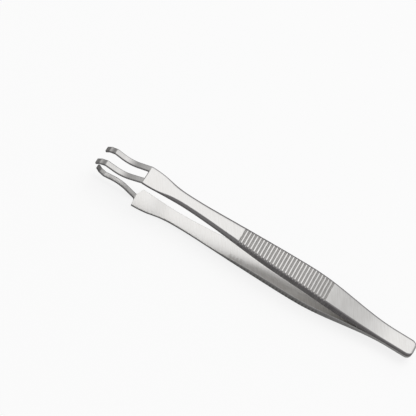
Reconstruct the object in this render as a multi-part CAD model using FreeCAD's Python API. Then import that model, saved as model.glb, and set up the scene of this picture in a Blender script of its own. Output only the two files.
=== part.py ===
"""Sterilization forceps: two sprung steel arms welded together at the heel.

The two-prong arm is uppermost and the one-prong arm lies below it, so that the
single hooked prong closes between the two. All sizes are in millimetres.
Stations along the forceps are measured from the tip of the longest prong, and
heights from the plane midway between the arms. The finished pair is laid on the
straight outer face of the lower arm.
"""
import FreeCAD
import Part
import math
import os

from FreeCAD import Vector

# Length of the forceps and the places of its main stretches
overall_length = 145.0
weld_length = 10.0
crease_station = 20.0
shoulder_length = 1.5
waist_start = 37.5
waist_end = 39.0
grip_start = 63.7
grip_widest = 100.0
straight_end = 93.0

# Full widths of an arm
shoulder_width = 9.2
waist_width = 6.15
grip_front_width = 8.5
grip_width = 10.65
heel_width = 7.8
heel_corner_radius = 2.6

# Thickness of an arm, and the stations between which it swells into the leaf and the grip
prong_thickness = 0.98
leaf_thickness = 1.8
grip_thickness = 3.2
heel_thickness = 1.6
thin_end = 25.0
leaf_start = 36.0
leaf_end = 52.0
thick_start = 80.0

# Opening of the arms: height of the outer face at the crease, and its fall towards the heel
crease_height = 8.75
outer_slope = 0.0315
trimming_stock = 0.1

# Facets ground along the outer edges, and the stretch over which they grow
shoulder_facet = 0.15
leaf_facet = 0.72
leaf_end_facet = 0.95
grip_facet = 0.85
heel_facet = 0.5
facet_growth_start = 26.0
facet_growth_end = 33.0
facet_change = 2.0

# Plan of the prongs
near_prong_reach = 20.0
far_prong_reach = 19.2
lower_prong_reach = 19.0
slot_width = 3.8
slot_splay = 0.45
slot_corner_radius = 0.7
slot_end_web = 0.2
lower_prong_width = 2.3
near_root_radius = 0.6
far_root_radius = 0.2
near_shoulder_slope = 6.0
far_shoulder_slope = 22.0
shoulder_corner_radius = 0.3

# Side view of a prong: inward run, outward run, hook and point
inward_slope = 0.40
outward_slope = 0.15
wave_radius = 13.0
crest_drop = 2.25
crest_radius = 0.3
hook_length = 4.15
hook_slope = 0.34
point_length = 1.6
point_slope = 0.95
point_radius = 1.6

# Cross grooves of the grip
groove_pitch = 1.48
groove_count = 28
groove_width = 0.96
groove_floor = 0.22
groove_depth = 0.42

weld_start = overall_length - weld_length
grip_end = grip_start + groove_count * groove_pitch
root_thickness = prong_thickness * math.hypot(1.0, inward_slope)
clear_of_arm = 2 * crease_height


def smooth_value(points, x):
    """Value at x of a curve through the points, with no bump between two of them."""
    if x <= points[0][0]:
        return points[0][1]
    if x >= points[-1][0]:
        return points[-1][1]
    rises = [(q[1] - p[1]) / (q[0] - p[0]) for p, q in zip(points, points[1:])]
    slopes = [0.0]
    for before, after in zip(rises, rises[1:]):
        same_way = before * after > 0
        slopes.append(2 * before * after / (before + after) if same_way else 0.0)
    slopes.append(0.0)
    i = max(k for k in range(len(rises)) if points[k][0] <= x)
    span = points[i + 1][0] - points[i][0]
    rise = points[i + 1][1] - points[i][1]
    t = (x - points[i][0]) / span
    start_bend = slopes[i] * span * t * (1 - t) ** 2
    end_bend = slopes[i + 1] * span * t * t * (t - 1)
    return points[i][1] + rise * (3 * t * t - 2 * t ** 3) + start_bend + end_bend


def arm_width(x):
    """Full width of an arm at station x: shoulder, waist, flared grip, narrower heel."""
    return smooth_value([
        (crease_station, shoulder_width),
        (crease_station + shoulder_length, shoulder_width),
        (waist_start, waist_width),
        (waist_end, waist_width),
        (grip_start, grip_front_width),
        (grip_widest, grip_width),
        (weld_start, heel_width),
    ], x)


def arm_thickness(x):
    """Thickness of an arm at station x: thin shoulder, leaf, stout grip, thinner heel."""
    return smooth_value([
        (thin_end, root_thickness),
        (leaf_start, leaf_thickness),
        (leaf_end, leaf_thickness),
        (thick_start, grip_thickness),
        (grip_end, grip_thickness),
        (weld_start, heel_thickness),
    ], x)


def facet_size(x):
    """Size of the facet ground along the outer edges at station x."""
    return smooth_value([
        (facet_growth_start, shoulder_facet),
        (facet_growth_end, leaf_facet),
        (grip_start - facet_change, leaf_end_facet),
        (grip_start, grip_facet),
        (grip_widest, heel_facet),
    ], x)


def outer_height(x):
    """Height of an arm's outer face at station x: straight, then bowed in to the weld."""
    if x >= weld_start:
        return heel_thickness
    straight = crease_height - outer_slope * (min(x, straight_end) - crease_station)
    if x <= straight_end:
        return straight
    span = weld_start - straight_end
    t = (x - straight_end) / span
    blend = 3 * t * t - 2 * t ** 3
    return straight + (heel_thickness - straight) * blend - outer_slope * span * t * (1 - t) ** 2


def outer_tilt(x):
    """Angle in degrees by which the outer face falls towards the heel at station x."""
    step = 0.01
    fall = outer_height(x - step) - outer_height(x + step)
    return math.degrees(math.atan2(fall, 2 * step))


def arm_section(x):
    """Six-sided cross-section of the arm at station x, before its outer face is trimmed.

    The two facets at its outer edges run on through the stock above the outer face.
    """
    half = arm_width(x) / 2
    facet = facet_size(x)
    top_half = half - facet - trimming_stock
    top = outer_height(x)
    bottom = top - arm_thickness(x)
    corners = [
        Vector(x, -half, bottom),
        Vector(x, half, bottom),
        Vector(x, half, top - facet),
        Vector(x, top_half, top + trimming_stock),
        Vector(x, -top_half, top + trimming_stock),
        Vector(x, -half, top - facet),
    ]
    return Part.makePolygon(corners + corners[:1])


def trimmed_space():
    """All between the outer face and the plane midway between the arms.

    The outer face is flat at first and then bows in to the weld.
    """
    crease = Vector(crease_station, 0, crease_height)
    bow_start = Vector(straight_end, 0, outer_height(straight_end))
    bow_end = Vector(weld_start, 0, heel_thickness)
    handle = (weld_start - straight_end) / 3
    bow = Part.BezierCurve()
    bow.setPoles([
        bow_start,
        bow_start + Vector(handle, 0, -outer_slope * handle),
        bow_end - Vector(handle, 0, 0),
        bow_end,
    ])
    lower_end = Vector(weld_start, 0, 0)
    lower_start = Vector(crease_station, 0, 0)
    edges = [
        Part.LineSegment(crease, bow_start).toShape(),
        bow.toShape(),
        Part.LineSegment(bow_end, lower_end).toShape(),
        Part.LineSegment(lower_end, lower_start).toShape(),
        Part.LineSegment(lower_start, crease).toShape(),
    ]
    face = Part.Face(Part.Wire(edges))
    face.translate(Vector(0, -grip_width, 0))
    return face.extrude(Vector(0, 2 * grip_width, 0))


def stations(start, end, count):
    """Evenly spaced stations from start to end, both included."""
    return [start + (end - start) * k / count for k in range(count + 1)]


def rounded_path(points, radii):
    """Edges of an open path with a tangent arc, or a sharp corner, at each inner point."""
    edges = []
    start = points[0]
    for before, corner, after, radius in zip(points, points[1:], points[2:], radii):
        if radius > 0:
            back = (before - corner).normalize()
            ahead = (after - corner).normalize()
            half_angle = back.getAngle(ahead) / 2
            reach = radius / math.tan(half_angle)
            deep = radius / math.sin(half_angle) - radius
            arc_start = corner + back * reach
            arc_middle = corner + (back + ahead).normalize() * deep
            arc_end = corner + ahead * reach
            edges.append(Part.LineSegment(start, arc_start).toShape())
            edges.append(Part.Arc(arc_start, arc_middle, arc_end).toShape())
            start = arc_end
        else:
            edges.append(Part.LineSegment(start, corner).toShape())
            start = corner
    edges.append(Part.LineSegment(start, points[-1]).toShape())
    return edges


def plan_plate(outline):
    """Tall plate over a plan outline, given as corners with the radius of each."""
    corners = [Vector(x, y, -clear_of_arm) for x, y, radius in outline]
    radii = [radius for x, y, radius in outline]
    seam = (corners[-1] + corners[0]) * 0.5
    edges = rounded_path([seam] + corners + [seam], radii)
    return Part.Face(Part.Wire(edges)).extrude(Vector(0, 0, 2 * clear_of_arm))


def heel_block():
    """Flat heel over the weld, with rounded end corners and a facet around its rim."""
    half = heel_width / 2
    side_run = weld_length - heel_corner_radius
    corners = [
        Vector(weld_start, -half, 0),
        Vector(overall_length, -half, 0),
        Vector(overall_length, half, 0),
        Vector(weld_start, half, 0),
    ]
    middle = Vector(weld_start, 0, 0)
    radii = [0, heel_corner_radius, heel_corner_radius, 0]
    outline = rounded_path([middle] + corners + [middle], radii)
    block = Part.Face(Part.Wire(outline)).extrude(Vector(0, 0, heel_thickness))
    rim = [
        edge for edge in block.Edges
        if edge.BoundBox.ZMin > heel_thickness / 2 and edge.BoundBox.XMax > weld_start + side_run / 2
    ]
    return block.makeChamfer(heel_facet, rim)


def prong_strip(reach):
    """Side view of a prong, run out over more than the width of the arm.

    From the crease the strip runs inwards, turns outwards in one long wave, and is
    hooked inwards at its end, in two steps. The inner line is parallel to the outer
    one, one thickness inside it, and ends upright at the crease.
    """
    crease = Vector(crease_station, 0, crease_height)
    crest_run = reach - hook_length
    crest = Vector(crease_station - crest_run, 0, crease_height - crest_drop)
    turn_run = (crest_drop + outward_slope * crest_run) / (inward_slope + outward_slope)
    turn = Vector(crease_station - turn_run, 0, crease_height - inward_slope * turn_run)
    bend_run = hook_length - point_length
    bend = Vector(crest.x - bend_run, 0, crest.z - hook_slope * bend_run)
    tip = Vector(bend.x - point_length, 0, bend.z - point_slope * point_length)
    outer = [crease, turn, crest, bend, tip]
    runs = [(q - p).normalize() for p, q in zip(outer, outer[1:])]
    inward = [Vector(-run.z, 0, run.x) for run in runs]
    inner = [crease - Vector(0, 0, root_thickness)]
    for corner, before, after in zip(outer[1:], inward, inward[1:]):
        spread = before + after
        inner.append(corner + spread * (2 * prong_thickness / spread.Length ** 2))
    inner.append(tip + inward[-1] * prong_thickness)
    inner_radii = [wave_radius + prong_thickness, 0.0, point_radius - prong_thickness]
    outline = rounded_path(outer, [wave_radius, crest_radius, point_radius])
    outline.append(Part.LineSegment(tip, inner[-1]).toShape())
    outline += rounded_path(inner[::-1], inner_radii[::-1])
    outline.append(Part.LineSegment(inner[0], crease).toShape())
    face = Part.Face(Part.Wire(outline))
    face.translate(Vector(0, -shoulder_width, 0))
    return face.extrude(Vector(0, 2 * shoulder_width, 0))


def upper_prong(reach, side):
    """One of the upper prongs, on the near side (-1) or the far side (1) of the slot."""
    slot_end = crease_station - slot_end_web
    past_tip = crease_station - reach - 1.0
    splay = slot_splay * (crease_station - past_tip) / reach
    plate = plan_plate([
        (crease_station + 1.0, 0, 0),
        (slot_end, 0, 0),
        (slot_end, side * slot_width / 2, slot_corner_radius),
        (past_tip, side * (slot_width / 2 + splay), 0),
        (past_tip, side * (shoulder_width / 2 + splay), 0),
        (crease_station, side * shoulder_width / 2, 0),
        (crease_station + 1.0, side * shoulder_width / 2, 0),
    ])
    return prong_strip(reach).common(plate)


def lower_plate():
    """Plan of the lower arm's front: one prong, its roots and two sloping shoulders."""
    prong_half = lower_prong_width / 2
    arm_half = shoulder_width / 2
    past_tip = crease_station - lower_prong_reach - 1.0
    behind = facet_growth_start
    outline = [(past_tip, -prong_half, 0)]
    for side, slope, root in (
        (-1, near_shoulder_slope, near_root_radius),
        (1, far_shoulder_slope, far_root_radius),
    ):
        back = (arm_half - prong_half) * math.tan(math.radians(slope))
        shoulder = [
            (crease_station, side * prong_half, root),
            (crease_station + back, side * arm_half, shoulder_corner_radius),
            (behind, side * (arm_half + 1.0), 0),
            (overall_length + 1.0, side * (arm_half + grip_width), 0),
        ]
        outline += shoulder if side < 0 else shoulder[::-1]
    outline.append((past_tip, prong_half, 0))
    return plan_plate(outline)


def groove_cutters():
    """Bars whose section is that of a groove, set square across the outer face."""
    flare = (groove_width - groove_floor) / 2 / groove_depth
    proud = groove_depth
    top_half = groove_width / 2 + flare * proud
    bars = []
    for k in range(groove_count):
        x = grip_start + k * groove_pitch + groove_width / 2
        corners = [
            Vector(-groove_floor / 2, -grip_width, -groove_depth),
            Vector(groove_floor / 2, -grip_width, -groove_depth),
            Vector(top_half, -grip_width, proud),
            Vector(-top_half, -grip_width, proud),
        ]
        face = Part.Face(Part.makePolygon(corners + corners[:1]))
        bar = face.extrude(Vector(0, 2 * grip_width, 0))
        bar.rotate(Vector(0, 0, 0), Vector(0, 1, 0), outer_tilt(x))
        bar.translate(Vector(x, 0, outer_height(x)))
        bars.append(bar)
    return bars


def arm_body():
    """Arm from the crease to the heel: lofted blade, flat heel and grooved grip."""
    places = stations(crease_station, crease_station + shoulder_length, 1)
    places += stations(crease_station + shoulder_length, waist_start, 7)[1:]
    places += stations(waist_start, grip_start - facet_change, 7)[1:]
    places += stations(grip_start, straight_end, 5)
    places += stations(straight_end, weld_start, 9)[1:]
    blade = Part.makeLoft([arm_section(x) for x in places], True, False)
    return blade.common(trimmed_space()).fuse(heel_block()).cut(groove_cutters())


def upper_arm():
    """Two-prong arm: the body with a slotted pair of prongs."""
    prongs = [upper_prong(near_prong_reach, -1), upper_prong(far_prong_reach, 1)]
    return arm_body().fuse(prongs).removeSplitter()


def lower_arm():
    """One-prong arm: the body turned over, with a single prong between two shoulders."""
    front = prong_strip(lower_prong_reach).common(lower_plate())
    arm = arm_body().common(lower_plate()).fuse(front).removeSplitter()
    return arm.mirror(Vector(0, 0, 0), Vector(0, 0, 1))


def lay_down(arms):
    """Lay the pair on the lower arm's straight outer face, centred over the origin."""
    for arm in arms:
        arm.rotate(Vector(0, 0, 0), Vector(0, 1, 0), math.degrees(math.atan(outer_slope)))
    box = Part.makeCompound(arms).optimalBoundingBox()
    for arm in arms:
        arm.translate(Vector(-(box.XMin + box.XMax) / 2, 0, -box.ZMin))
    return arms


def main():
    """Build both arms and write one file for each."""
    os.makedirs("parts", exist_ok=True)
    two_prong_arm, one_prong_arm = lay_down([upper_arm(), lower_arm()])
    two_prong_arm.exportStep("parts/two_prong_arm.step")
    one_prong_arm.exportStep("parts/one_prong_arm.step")


main()
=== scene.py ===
import math

import bpy
import numpy as np
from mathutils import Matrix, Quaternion, Vector


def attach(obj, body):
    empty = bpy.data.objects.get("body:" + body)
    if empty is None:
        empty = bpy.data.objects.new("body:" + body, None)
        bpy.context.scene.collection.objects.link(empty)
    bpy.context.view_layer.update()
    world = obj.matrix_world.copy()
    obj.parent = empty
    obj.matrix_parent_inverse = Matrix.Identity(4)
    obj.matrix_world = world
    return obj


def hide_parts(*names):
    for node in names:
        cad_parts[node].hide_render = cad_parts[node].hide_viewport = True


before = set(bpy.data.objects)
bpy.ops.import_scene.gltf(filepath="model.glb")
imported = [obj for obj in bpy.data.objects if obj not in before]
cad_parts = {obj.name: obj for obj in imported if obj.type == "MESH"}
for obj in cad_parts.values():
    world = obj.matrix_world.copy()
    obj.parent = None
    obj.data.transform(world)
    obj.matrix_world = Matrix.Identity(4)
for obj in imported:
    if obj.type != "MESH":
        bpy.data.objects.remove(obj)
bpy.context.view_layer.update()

# The steel of both arms: spring steel sheet, its faces ground satin by a belt that ran
# slantwise over them. The sheared edges are rougher than the faces. Shade is painted into
# the colour: darkest on the sheared edges, less on the facets ground along them, and on the
# milled grooves and along the prongs too.
MM = 1000.0
BELT_ANGLE = math.radians(30)
BELT_LUMP_MM = (0.3, 6.0, 6.0)
BELT_SHARE = 0.6
BUMP_STRENGTH = 0.2
BUMP_HEIGHT = 0.00002
SMUDGES_PER_MM = 0.16
CLOUD_DETAIL = 3.0
FACE_DARK = (0.79, 0.775, 0.755, 1)
FACE_LIGHT = (0.925, 0.915, 0.90, 1)
# Painted shade: the darker colours for the grooves and prongs, the facets and the sheared edges.
SHADED_CUT_STEEL = (0.33, 0.32, 0.315, 1)
SHADED_FACET_STEEL = (0.53, 0.515, 0.52, 1)
SHADED_EDGE_DARK = (0.27, 0.255, 0.26, 1)
SHADED_EDGE_LIGHT = (0.46, 0.44, 0.44, 1)
FACE_ROUGHNESS = 0.22
CLOUD_ROUGHNESS = 0.12
WORKED_ROUGHNESS = 0.1


class Reading:
    """A socket that carries a number, so that sums in a shader are written as sums."""

    def __init__(self, finish, socket):
        self.finish = finish
        self.socket = socket

    def sum(self, operation, first, second):
        return self.finish.node("ShaderNodeMath", {"operation": operation}, {0: first, 1: second})

    def __add__(self, other):
        return self.sum("ADD", self, other)

    def __sub__(self, other):
        return self.sum("SUBTRACT", self, other)

    def __mul__(self, other):
        return self.sum("MULTIPLY", self, other)

    def __radd__(self, other):
        return self.sum("ADD", other, self)

    def __rsub__(self, other):
        return self.sum("SUBTRACT", other, self)

    def __rmul__(self, other):
        return self.sum("MULTIPLY", other, self)


class Finish:
    """The node tree of a material or a world, with one method that adds any node."""

    def __init__(self, owner):
        owner.use_nodes = True
        self.tree = owner.node_tree
        self.tree.nodes.clear()

    def node(self, kind, settings=None, values=None, output=0):
        """Adds a node, applies its settings, fills its sockets and returns one output.

        The output is given by its name, or by its number where several share a name.
        """
        made = self.tree.nodes.new(kind)
        for name, setting in (settings or {}).items():
            if name == "stops":
                ramp = made.color_ramp
                while len(ramp.elements) < len(setting):
                    ramp.elements.new(0.5)
                for element, (place, shade) in zip(ramp.elements, setting):
                    element.position = place
                    element.color = (shade, shade, shade, 1)
            else:
                setattr(made, name, setting)
        for name, value in (values or {}).items():
            if isinstance(value, Reading):
                self.tree.links.new(value.socket, made.inputs[name])
            else:
                made.inputs[name].default_value = value
        return Reading(self, made.outputs[output]) if made.outputs else None

    def ramp(self, reading, *stops):
        """A number that follows the stops (reading, result) with straight lines between."""
        return self.node("ShaderNodeValToRGB", {"stops": stops}, {"Fac": reading})

    def mix(self, share, first, second):
        """A colour mixed from two, on sockets 6 and 7, with this share of the second."""
        colours = {"Factor": share, 6: first, 7: second}
        return self.node("ShaderNodeMix", {"data_type": "RGBA"}, colours, output=2)

    def clouds(self, place, scale):
        """Cloudy noise between 0 and 1 at a place, with scale lumps to its unit."""
        values = {"Vector": place, "Scale": scale, "Detail": CLOUD_DETAIL}
        return self.node("ShaderNodeTexNoise", None, values)


steel_material = bpy.data.materials.new("brushed_steel")
steel = Finish(steel_material)
place = steel.node("ShaderNodeTexCoord", output="Object")
place_mm = steel.node("ShaderNodeVectorMath", {"operation": "SCALE"}, {0: place, "Scale": MM})
along_belt = {"Vector": place_mm, "Rotation": (0, 0, BELT_ANGLE), "Scale": BELT_LUMP_MM}
belt_place = steel.node("ShaderNodeMapping", {"vector_type": "TEXTURE"}, along_belt)
belt_lines = steel.clouds(belt_place, 1.0)
smudges = steel.clouds(place_mm, SMUDGES_PER_MM)

# Each point carries two readings, both of painted shade. The edge reading is 0 on a face,
# about 0.5 on a facet and 1 on a sheared edge, and also roughens the edges; the cut reading
# is how much painted shade shows in the milled grooves and along the prongs, and also
# roughens the steel there.
sheared = steel.node("ShaderNodeAttribute", {"attribute_name": "sheared"}, output="Fac")
cut = steel.node("ShaderNodeAttribute", {"attribute_name": "cut"}, output="Fac")
facet_share = steel.ramp(sheared, (0.0, 0), (0.35, 1))
edge_share = steel.ramp(sheared, (0.5, 0), (0.7, 1))
mottle = BELT_SHARE * belt_lines + (1 - BELT_SHARE) * smudges
light_share = steel.ramp(mottle, (0.35, 0), (0.65, 1))
face_colour = steel.mix(light_share, FACE_DARK, FACE_LIGHT)
# The edges, the facets, and then the grooves and prongs are darkened with painted shade.
shaded_edge_colour = steel.mix(light_share, SHADED_EDGE_DARK, SHADED_EDGE_LIGHT)
shaded_facet_colour = steel.mix(facet_share, face_colour, SHADED_FACET_STEEL)
shaded_steel_colour = steel.mix(cut, shaded_facet_colour, SHADED_CUT_STEEL)
roughness = (FACE_ROUGHNESS + CLOUD_ROUGHNESS * belt_lines + CLOUD_ROUGHNESS * smudges
             + WORKED_ROUGHNESS * edge_share + WORKED_ROUGHNESS * cut)
bump_values = {"Strength": BUMP_STRENGTH, "Distance": BUMP_HEIGHT, "Height": belt_lines}
surface = steel.node("ShaderNodeBsdfPrincipled", None, {
    "Base Color": steel.mix(edge_share, shaded_steel_colour, shaded_edge_colour),
    "Metallic": 1.0,
    "Roughness": roughness,
    "Normal": steel.node("ShaderNodeBump", None, bump_values),
})
steel.node("ShaderNodeOutputMaterial", None, {"Surface": surface})

# The blade of each arm: a leaf of spring steel from the crease behind the prongs to the
# welded heel, straight and then bowed in. It narrows to a waist, and thickens into a
# finger grip with grooves milled square across its outer face.

# Sizes are in millimetres. Stations count from the longest prong's tip, and heights from
# between the arms. Widths, thicknesses and facets are lists of (station, size).
LENGTH = 145.0
CREASE = 20.0
STRAIGHT_END = 93.0
WELD_START = 135.0
CREASE_HEIGHT = 8.75
SLOPE = 0.0315
HEEL_THICKNESS = 1.6
HEEL_RADIUS = 2.6
GRIP_START = 63.7
PITCH = 1.48
GROOVES = 28
GRIP_END = GRIP_START + GROOVES * PITCH
GROOVE_WIDTH = 0.96
GROOVE_FLOOR = 0.22
GROOVE_WALL = (GROOVE_WIDTH - GROOVE_FLOOR) / 2
GROOVE_DEPTH = 0.42
GROOVE_EASE = 0.04
PRONG_SLOPE = 0.40
PRONG_THICKNESS = 0.98
ROOT_THICKNESS = PRONG_THICKNESS * math.hypot(1, PRONG_SLOPE)
LOWER_PRONG_HALF = 1.15
LEAF = 1.8
GRIP = 3.2
WIDTHS = [(20, 9.2), (21.5, 9.2), (37.5, 6.15), (39, 6.15), (63.7, 8.5), (100, 10.648),
          (135, 7.8)]
THICKNESSES = [(25, ROOT_THICKNESS), (36, LEAF), (52, LEAF), (80, GRIP), (GRIP_END, GRIP),
               (WELD_START, HEEL_THICKNESS)]
FACETS = [(26, 0.15), (33, 0.72), (61.7, 0.95), (63.7, 0.85), (100, 0.5)]
LEAST_FACET = 0.02

# The corners are rounded over from one reach before them, the far outer one most, but
# never over more than this share of a side
CORNER_REACH = 0.22
FAR_OUTER = 5
FAR_OUTER_REACH = 0.6
MOST_OF_SIDE = 0.45
ROUND_STEPS = 3

# Stations stand one step apart, with one close to the crease and more round the heel.
# The front ring is drawn in by its inset, and its lean fades out over the stretch behind.
STATION_STEP = 0.6
CREASE_STEP = 0.05
HEEL_STATIONS = 9
FRONT_INSET = 0.04
LEAN_FADE = 5.0

# A groove's painted shade, its cut reading, rises from 0 to its full value over the first
# third of its depth, on the six outer corners of the section
GROOVE_SHADE = 0.6
CUT_RISE = 3
OUTER_CORNERS = [0] * 4 + [1] * 6


def smooth(points, x):
    """Cubic through the points, level at both ends and at every high or low point.

    The slope at each inner point is the harmonic mean of the rises on its two sides.
    """
    at, value = np.array(points, float).T
    rise = np.diff(value) / np.diff(at)
    pair = rise[1:] * rise[:-1]
    mean = 2 * pair / np.where(pair > 0, rise[1:] + rise[:-1], 1)
    slope = np.concatenate([[0], np.where(pair > 0, mean, 0), [0]])
    x = np.clip(x, at[0], at[-1])
    i = np.clip(np.searchsorted(at, x, side="right") - 1, 0, len(rise) - 1)
    span = np.diff(at)[i]
    t = (x - at[i]) / span
    bend = slope[i] * t * (1 - t) ** 2 - slope[i + 1] * t * t * (1 - t)
    return value[i] + np.diff(value)[i] * t * t * (3 - 2 * t) + span * bend


def outer_height(x):
    """Straight fall to the end of the straight, then a cubic that meets the heel level."""
    straight = CREASE_HEIGHT - SLOPE * (np.minimum(x, STRAIGHT_END) - CREASE)
    span = WELD_START - STRAIGHT_END
    t = np.clip((x - STRAIGHT_END) / span, 0, 1)
    blend = t * t * (3 - 2 * t)
    return straight + (HEEL_THICKNESS - straight) * blend - SLOPE * span * t * (1 - t) ** 2


def groove_depth(x):
    """Trapezoid repeated at the pitch, with its corners eased by averaging neighbours."""
    def sharp(x):
        from_middle = np.abs(np.mod(x - GRIP_START, PITCH) - GROOVE_WIDTH / 2)
        within = (x > GRIP_START) & (x < GRIP_END - (PITCH - GROOVE_WIDTH))
        return within * np.clip((GROOVE_WIDTH / 2 - from_middle) / GROOVE_WALL, 0, 1)

    return GROOVE_DEPTH * (sharp(x - GROOVE_EASE) + 2 * sharp(x) + sharp(x + GROOVE_EASE)) / 4


def rounded(corners, reach):
    """Rings of corners with each corner swapped for a parabola.

    It starts one reach before the corner, at A, and ends one reach after it, at B, as
    (1-t)(1-t) A + 2t(1-t) corner + t t B.
    """
    def towards(other):
        gap = other - corners
        far = np.linalg.norm(gap, axis=2, keepdims=True)
        return corners + gap * np.minimum(reach / far, MOST_OF_SIDE)

    t = np.linspace(0, 1, ROUND_STEPS + 1)[:, None]
    start = towards(np.roll(corners, 1, axis=1))[:, :, None]
    end = towards(np.roll(corners, -1, axis=1))[:, :, None]
    curve = (1 - t) ** 2 * start + 2 * t * (1 - t) * corners[:, :, None] + t * t * end
    return curve.reshape(len(corners), -1, 3)


def eased_end(rings, which, inset):
    """Draws one end ring in towards its middle, which leaves a narrow chamfer there."""
    middle = rings[which].mean(axis=0)
    out = rings[which] - middle
    far = np.linalg.norm(out, axis=1, keepdims=True)
    rings[which] = middle + out * (1 - inset / np.maximum(far, 2 * inset))
    return rings


def blade(near_lean, far_lean):
    """Rings along the blade, a ten-cornered section at each station, and their painted groove
    shade.

    The section is a rectangle of the width and thickness there, with its two outer
    corners cut off by the facet. In a groove its top is lower and the facets are smaller
    by the groove's depth. The front ring leans back on each side of the prong's root by
    the given slopes, which fade out over the first stations.
    """
    turns = np.array([0, GROOVE_WALL, GROOVE_WIDTH - GROOVE_WALL, GROOVE_WIDTH])
    groove = (turns[:, None] + [-GROOVE_EASE, 0, GROOVE_EASE]).ravel()
    grip = GRIP_START + (np.arange(GROOVES)[:, None] * PITCH + groove).ravel()
    heel_turn = np.linspace(0, math.pi / 2, HEEL_STATIONS)
    heel_end = LENGTH - HEEL_RADIUS * (1 - np.sin(heel_turn))
    x = np.concatenate([
        [CREASE, CREASE + CREASE_STEP],
        np.arange(CREASE + STATION_STEP, GRIP_START - STATION_STEP / 2, STATION_STEP),
        grip,
        np.arange(GRIP_END + STATION_STEP / 2, heel_end[0], STATION_STEP),
        heel_end,
    ])
    facet = smooth(FACETS, x)
    past = np.clip((x - heel_end[0]) / HEEL_RADIUS, 0, 1)
    half = smooth(WIDTHS, x) / 2 - HEEL_RADIUS * (1 - np.sqrt(1 - past ** 2))
    end_drop = np.clip(facet - (LENGTH - x), 0, facet)
    depth = groove_depth(x) + end_drop
    high = outer_height(x) - depth
    low = outer_height(x) - smooth(THICKNESSES, x)
    facet = np.maximum(facet - depth, LEAST_FACET)
    root = np.minimum(LOWER_PRONG_HALF, half - 2 * facet)
    side = high - facet
    y = [-half, -root, root, half, half, half - facet, root, -root, facet - half, -half]
    z = [low, low, low, low, side, high, high, high, high, side]
    across = np.stack(y, axis=1)
    lean = np.where(across < 0, near_lean, far_lean)
    fade = np.clip(1 - (x - CREASE) / LEAN_FADE, 0, 1)[:, None]
    shift = np.maximum(np.abs(across) - LOWER_PRONG_HALF, 0) * lean * fade
    along = x[:, None] + shift
    up = np.stack(z, axis=1) - SLOPE * shift
    reach = np.full((len(y), 1), CORNER_REACH)
    reach[FAR_OUTER] = FAR_OUTER_REACH
    rings = rounded(np.stack([along, across, up], axis=2), reach)
    in_groove = np.minimum(CUT_RISE * groove_depth(x) / GROOVE_DEPTH, 1)
    return eased_end(rings, 0, FRONT_INSET), GROOVE_SHADE * np.outer(in_groove, OUTER_CORNERS)


# The prongs: strips of the same sheet that carry on from the crease. Each is bent inwards,
# swung out again in one long wave and hooked inwards twice at its end, with its inner line
# kept parallel to the outer one. They are rounded over more than the blades.
WAVE_OUT_SLOPE = 0.15
CREST_DROP = 2.25
HOOK_LENGTH = 4.15
HOOK_SLOPE = 0.34
POINT_LENGTH = 1.6
POINT_SLOPE = 0.95
WAVE_RADIUS = 13.0
CREST_RADIUS = 0.3
INNER_CREST_RADIUS = 0.05
HOOK_RADIUS = 1.6
PRONG_REACH = 0.48
TIP_INSET = 0.2
SPLAY = 0.45
SHOULDER_HALF = 4.6
SLOT_HALF = 1.9
SLOT_WEB = 0.28
SLOT_LAP = 0.5
WEB_BACK_DROP = 0.01
WEB_ROUND_POINTS = 5

# A path has seven stretches, runs and arcs in turn. The first six hold these numbers of
# points at even shares, but the first run's draw together towards the root. The last
# run's close up at the tip.
POINTS = [12, 24, 6, 4, 4, 8]
LAST_RUN = [6.0, 6.5, 6.9, 7.0]
even = [np.linspace(k, k + 1, number, endpoint=False) for k, number in enumerate(POINTS)]
PATH_SHARES = np.concatenate([even[0] ** 2, *even[1:], LAST_RUN])
STRIDES = 4000


def bent_path(corners, radii):
    """Points along straight runs joined by arcs, at the same shares of any such path.

    The direction turns evenly along each arc, so the path is the running sum of short
    strides in that direction. Each arc starts radius * tan(half the turn) before its
    corner and is radius * turn long.
    """
    run = np.diff(corners, axis=0)
    heading = np.unwrap(np.arctan2(run[:, 1], run[:, 0]))
    turn = np.abs(np.diff(heading))
    tangent = np.array([0, *(np.array(radii) * np.tan(turn / 2)), 0])
    lengths = np.zeros(2 * len(run) - 1)
    lengths[::2] = np.hypot(*run.T) - tangent[:-1] - tangent[1:]
    lengths[1::2] = np.array(radii) * turn
    knots = np.concatenate([[0], np.cumsum(lengths)])
    fine = np.linspace(0, knots[-1], STRIDES + 1)
    angle = np.interp((fine[1:] + fine[:-1]) / 2, knots, np.repeat(heading, 2))
    strides = np.stack([np.cos(angle), np.sin(angle)], axis=1) * fine[1]
    points = corners[0] + np.concatenate([[[0, 0]], np.cumsum(strides, axis=0)])
    at = np.interp(PATH_SHARES, np.arange(len(knots)), knots)
    return np.stack([np.interp(at, fine, points[:, i]) for i in (0, 1)], axis=1)


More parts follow.
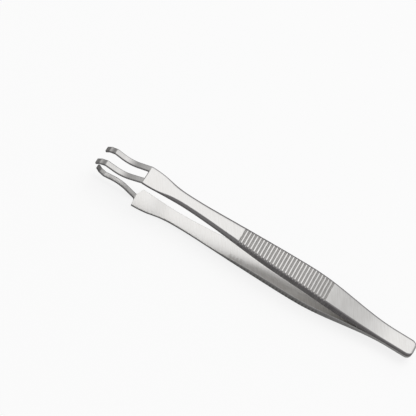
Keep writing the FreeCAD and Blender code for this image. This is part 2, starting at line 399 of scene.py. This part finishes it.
def prong(reach, sides, root_radii, splay, shade_stops):
    """Rings along a prong, a four-cornered section from outer to inner path, and its painted shade.

    Its near and far sides start at the given distances from the middle of the arm and
    swing by the splay over the reach, and a fillet of its own radius widens each at the
    root. Its painted shade follows the shade stops (share of the path, reading).
    """
    crest_run = reach - HOOK_LENGTH
    turn_run = (CREST_DROP + WAVE_OUT_SLOPE * crest_run) / (PRONG_SLOPE + WAVE_OUT_SLOPE)
    bend_run = HOOK_LENGTH - POINT_LENGTH
    crest = (-crest_run, -CREST_DROP)
    bend = (crest[0] - bend_run, crest[1] - HOOK_SLOPE * bend_run)
    tip = (bend[0] - POINT_LENGTH, bend[1] - POINT_SLOPE * POINT_LENGTH)
    outer = np.array([(0, 0), (-turn_run, -PRONG_SLOPE * turn_run), crest, bend, tip])
    run = np.diff(outer, axis=0)
    run /= np.linalg.norm(run, axis=1, keepdims=True)
    inward = np.stack([-run[:, 1], run[:, 0]], axis=1)
    spread = inward[1:] + inward[:-1]
    inner = np.concatenate([
        [(0, -ROOT_THICKNESS)],
        outer[1:4] + spread * 2 * PRONG_THICKNESS / (spread ** 2).sum(axis=1, keepdims=True),
        [outer[4] + inward[3] * PRONG_THICKNESS],
    ])

    def edge(path, side, radius):
        ahead = CREASE - path[:, 0]
        inside = np.clip(1 - ahead / radius, 0, 1)
        fillet = radius * (1 - np.sqrt(1 - inside ** 2)) * np.sign(side - sum(sides) / 2)
        return np.stack([path[:, 0], side + splay * ahead / reach + fillet, path[:, 1]], axis=1)

    origin = np.array([CREASE, CREASE_HEIGHT])
    above = origin + bent_path(outer, [WAVE_RADIUS, CREST_RADIUS, HOOK_RADIUS])
    below = origin + bent_path(inner, [
        WAVE_RADIUS + PRONG_THICKNESS, INNER_CREST_RADIUS, HOOK_RADIUS - PRONG_THICKNESS])
    corners = [
        edge(above, sides[0], root_radii[0]),
        edge(above, sides[1], root_radii[1]),
        edge(below, sides[1], root_radii[1]),
        edge(below, sides[0], root_radii[0]),
    ]
    rings = rounded(np.stack(corners, axis=1), PRONG_REACH)
    cut = np.outer(np.interp(PATH_SHARES, *zip(*shade_stops)), np.ones(len(corners)))
    return eased_end(rings, -1, TIP_INSET), cut


def slot_end():
    """Two rings across the slot, of the web that closes it: a bar with a rounded top edge.

    The round is a quarter circle, web * sin forwards and web * (1 - cos) down.
    """
    turn = np.linspace(0, math.pi / 2, WEB_ROUND_POINTS)
    back, front = CREASE + CREASE_STEP, CREASE - SLOT_WEB
    round_top = CREASE_HEIGHT - SLOT_WEB * (1 - np.cos(turn))
    foot = CREASE_HEIGHT - ROOT_THICKNESS
    x = np.concatenate([[back], CREASE - SLOT_WEB * np.sin(turn), [front, back]])
    z = np.concatenate([[CREASE_HEIGHT - WEB_BACK_DROP], round_top, [foot, foot]])
    half = SLOT_HALF + SLOT_LAP
    rings = [np.stack([x, np.full(len(x), y), z], axis=1) for y in (half, -half)]
    return np.array(rings), np.zeros((2, len(x)))


# The pair: each arm is one piece of steel, its prongs running on into its blade. The arms
# are laid face to face, the one-prong arm turned over and lowest, welded at the heel, and
# put down on the straight outer face of the lower arm.

# Painted edge shade of the strips between a section's corners: on a blade three on the
# inner face, far side, far facet, three on the outer face, near facet, near side, and on a
# prong outer face, far side, inner face, near side. Over 1 carries the painted dark round the
# corner.
UPPER_EDGE_SHADE = [0, 0, 0, 1, 1.3, 0, 0, 0, 0.5, 1]
LOWER_EDGE_SHADE = [0, 0, 0, 0.1, 0.5, 0, 0, 0, 0.5, 0.1]
PRONG_EDGE_SHADE = [0, 2, 0, 0.6]
WEB_EDGE_SHADE = [1] * (WEB_ROUND_POINTS + 3)

# How much painted shade shows along a prong, as (share of its path, reading). The upper
# two are shaded where the wave starts, just past the hook's first bend and at the point,
# and the lower one on the wave and at the point.
HOOKED_PRONG_SHADE = [(0, 0), (0.6, 0.15), (1.2, 0.45), (1.7, 0.2), (2.1, 0), (3.95, 0), (4.1, 0.85),
              (4.6, 0.8), (5.0, 0), (5.6, 0), (6.0, 0.75), (7.0, 0.6)]
LOWER_PRONG_SHADE = [(0, 0), (0.8, 0), (1.3, 0.25), (2.2, 0.4), (3.0, 0.1), (5.5, 0.05), (6.2, 0.85)]

# Reaches of the prongs before the crease, fillets at their roots, the lean back of the
# lower arm's shoulders, and the turn from which an edge is shaded as sharp
NEAR_REACH = 20.0
FAR_REACH = 19.2
LOWER_REACH = 19.0
SLOT_FILLET = 0.7
SIDE_FILLET = 0.01
LOWER_FILLETS = (0.6, 0.2)
LEAN_NEAR = math.tan(math.radians(6))
LEAN_FAR = math.tan(math.radians(22))
SHARP_TURN = math.radians(38)


def laid_down(points, turned_over):
    """Turned over, if so, then tilted about the width by the slope, in metres."""
    x, y, z = points.T
    z = -z if turned_over else z
    tilt = math.atan(SLOPE)
    turned = [x * math.cos(tilt) + z * math.sin(tilt), y, z * math.cos(tilt) - x * math.sin(tilt)]
    return np.stack(turned, axis=1) / MM


def arm_steel(name, runs, offset, turned_over):
    """One mesh over several runs of rings, laid down and closed at both ends of each.

    Quads join each ring to the next. The painted edge shade of a point goes over from that
    of the strip before its corner to that of the strip after it.
    """
    points, faces, readings, cut_and_shade_lists = [], [], [], []
    for (rings, cut), strips in runs:
        count, around = rings.shape[:2]
        index = np.arange(count * around).reshape(count, around) + sum(map(len, points))
        ahead = np.roll(index, -1, axis=1)
        quads = np.stack([index[:-1], ahead[:-1], ahead[1:], index[1:]], axis=2)
        faces += quads.reshape(-1, 4).tolist() + [index[0, ::-1].tolist(), index[-1].tolist()]
        after = np.array(strips, float)
        share = np.linspace(0, 1, around // len(after))
        before = np.roll(after, 1)
        ring_reading = (before[:, None] * (1 - share) + after[:, None] * share).ravel()
        readings.append(np.tile(ring_reading, count))
        cut_and_shade_lists.append(np.repeat(cut, len(share), axis=1).ravel())
        points.append(rings.reshape(-1, 3))
    mesh = bpy.data.meshes.new(name)
    mesh.from_pydata(laid_down(np.concatenate(points), turned_over) - offset, [], faces)
    if turned_over:
        mesh.flip_normals()
    for reading, values in (("sheared", readings), ("cut", cut_and_shade_lists)):
        attribute = mesh.attributes.new(reading, "FLOAT", "POINT")
        attribute.data.foreach_set("value", np.concatenate(values))
    mesh.shade_smooth()
    mesh.set_sharp_from_angle(angle=SHARP_TURN)
    mesh.materials.append(steel_material)
    arm = bpy.data.objects.new(name, mesh)
    bpy.context.scene.collection.objects.link(arm)
    flat_shading = arm.modifiers.new("flat_faces", "WEIGHTED_NORMAL")
    flat_shading.keep_sharp = True
    return arm


near_prong = prong(
    NEAR_REACH, (-SHOULDER_HALF, -SLOT_HALF), (SIDE_FILLET, SLOT_FILLET), -SPLAY, HOOKED_PRONG_SHADE)
far_prong = prong(
    FAR_REACH, (SLOT_HALF, SHOULDER_HALF), (SLOT_FILLET, SIDE_FILLET), SPLAY, HOOKED_PRONG_SHADE)
lower_prong = prong(
    LOWER_REACH, (-LOWER_PRONG_HALF, LOWER_PRONG_HALF), LOWER_FILLETS, 0, LOWER_PRONG_SHADE)
two_prong_runs = [
    (blade(0, 0), UPPER_EDGE_SHADE),
    (near_prong, PRONG_EDGE_SHADE),
    (far_prong, PRONG_EDGE_SHADE),
    (slot_end(), WEB_EDGE_SHADE),
]
one_prong_runs = [
    (blade(LEAN_NEAR, LEAN_FAR), LOWER_EDGE_SHADE),
    (lower_prong, PRONG_EDGE_SHADE),
]
arms = {"two_prong_arm": (two_prong_runs, False), "one_prong_arm": (one_prong_runs, True)}
loose = np.concatenate([
    laid_down(rings.reshape(-1, 3), turned_over)
    for runs, turned_over in arms.values()
    for (rings, cut), strips in runs
])
ends = (loose[:, 0].min() + loose[:, 0].max()) / 2
offset = np.array([ends, 0, loose[:, 2].min()])
for node, (runs, turned_over) in arms.items():
    arm = arm_steel(node + "_steel", runs, offset, turned_over)
    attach(arm, "root")
    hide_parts(node)

# The floor: a plain pale sheet, near white to the camera, that still takes the forceps'
# shadow. It is duller in the steel's reflections, so that the arms' sides stay dark.
FLOOR_HALF = 3.0
OWN_LIGHT = 0.83
WHITE = (1, 1, 1, 1)
PALE_PAINT = (0.92, 0.92, 0.92, 1)
DULL_PAINT = (0.34, 0.34, 0.34, 1)
floor_mesh = bpy.data.meshes.new("floor")
corners = [(x * FLOOR_HALF, y * FLOOR_HALF, 0.0) for x, y in ((-1, -1), (1, -1), (1, 1), (-1, 1))]
floor_mesh.from_pydata(corners, [], [(0, 1, 2, 3)])
floor = bpy.data.objects.new("floor", floor_mesh)
bpy.context.scene.collection.objects.link(floor)
floor_material = bpy.data.materials.new("floor_paint")
paint = Finish(floor_material)
seen = paint.node("ShaderNodeLightPath", output="Is Camera Ray")
mirrored = paint.node("ShaderNodeLightPath", output="Is Glossy Ray")
pale_coat = paint.node("ShaderNodeBsdfDiffuse", None, {"Color": PALE_PAINT})
dull_coat = paint.node("ShaderNodeBsdfDiffuse", None, {"Color": DULL_PAINT})
glow = paint.node("ShaderNodeEmission", None, {"Color": WHITE})
coat = paint.node("ShaderNodeMixShader", None, {0: mirrored, 1: pale_coat, 2: dull_coat})
sheet = paint.node("ShaderNodeMixShader", None, {0: OWN_LIGHT * seen, 1: coat, 2: glow})
paint.node("ShaderNodeOutputMaterial", None, {"Surface": sheet})
floor_mesh.materials.append(floor_material)

# The studio: soft light that falls off from a bright area above the far side to the near
# side, a second area overhead, and one broad lamp above for a soft shadow. The steel
# mirrors the bright areas, the camera sees white, and the lamp itself is not mirrored.
TOWARDS_LIGHT = (-0.03, 0.57, 0.821)
GLARE = 1.2
OVERHEAD = 0.6
LAMP_SIZE = 0.9
LAMP_POWER = 7.5
LAMP_PLACE = (0.2, 0.35, 1.3)
scene = bpy.context.scene
world = bpy.data.worlds.new("studio")
scene.world = world
air = Finish(world)
direction = air.node("ShaderNodeTexCoord", output="Generated")
facing = air.node(
    "ShaderNodeVectorMath", {"operation": "DOT_PRODUCT"}, {0: direction, 1: TOWARDS_LIGHT}, "Value")
glare = GLARE * air.ramp(
    facing, (0.0, 0.2), (0.4, 0.27), (0.8, 0.34), (0.93, 0.44), (0.968, 0.86), (1.0, 1.0))
height = air.node("ShaderNodeSeparateXYZ", None, {"Vector": direction}, output="Z")
overhead = OVERHEAD * air.ramp(height, (0.88, 0), (0.97, 1))
eye = air.node("ShaderNodeLightPath", output="Is Camera Ray")
brightness = overhead + glare + eye * (1 - overhead - glare)
backdrop = air.node("ShaderNodeBackground", None, {"Color": WHITE, "Strength": brightness})
air.node("ShaderNodeOutputWorld", None, {"Surface": backdrop})

softbox = bpy.data.lights.new("softbox", "AREA")
softbox.shape = "RECTANGLE"
softbox.size = LAMP_SIZE
softbox.size_y = LAMP_SIZE
softbox.energy = LAMP_POWER
lamp = bpy.data.objects.new("softbox", softbox)
lamp.location = LAMP_PLACE
lamp.visible_glossy = False
lamp.rotation_euler = (-lamp.location).to_track_quat("-Z", "Y").to_euler()
scene.collection.objects.link(lamp)

# The camera: a long lens at the photograph's view, rolled so that the heel lies low on
# the right, and aimed so that the prongs stand where the photograph has them
AZIMUTH = math.radians(2.48)
ELEVATION = math.radians(53.95)
ROLL = math.radians(28.25)
DISTANCE = 1.0
FRAME_WIDTH = 0.1631
SENSOR_MM = 36.0
NEAREST_SEEN = 0.05
target = Vector((-0.02561, 0.00502, 0.01155))
towards_camera = Vector((
    math.sin(AZIMUTH) * math.cos(ELEVATION),
    -math.cos(AZIMUTH) * math.cos(ELEVATION),
    math.sin(ELEVATION),
))
camera_data = bpy.data.cameras.new("camera")
camera_data.sensor_width = SENSOR_MM
camera_data.lens = SENSOR_MM * DISTANCE / FRAME_WIDTH
camera_data.clip_start = NEAREST_SEEN
camera = bpy.data.objects.new("camera", camera_data)
level = (-towards_camera).to_track_quat("-Z", "Y")
camera.rotation_mode = "QUATERNION"
camera.rotation_quaternion = level @ Quaternion((0, 0, 1), ROLL)
camera.location = target + towards_camera * DISTANCE
scene.collection.objects.link(camera)
scene.camera = camera

scene.view_settings.view_transform = "Standard"
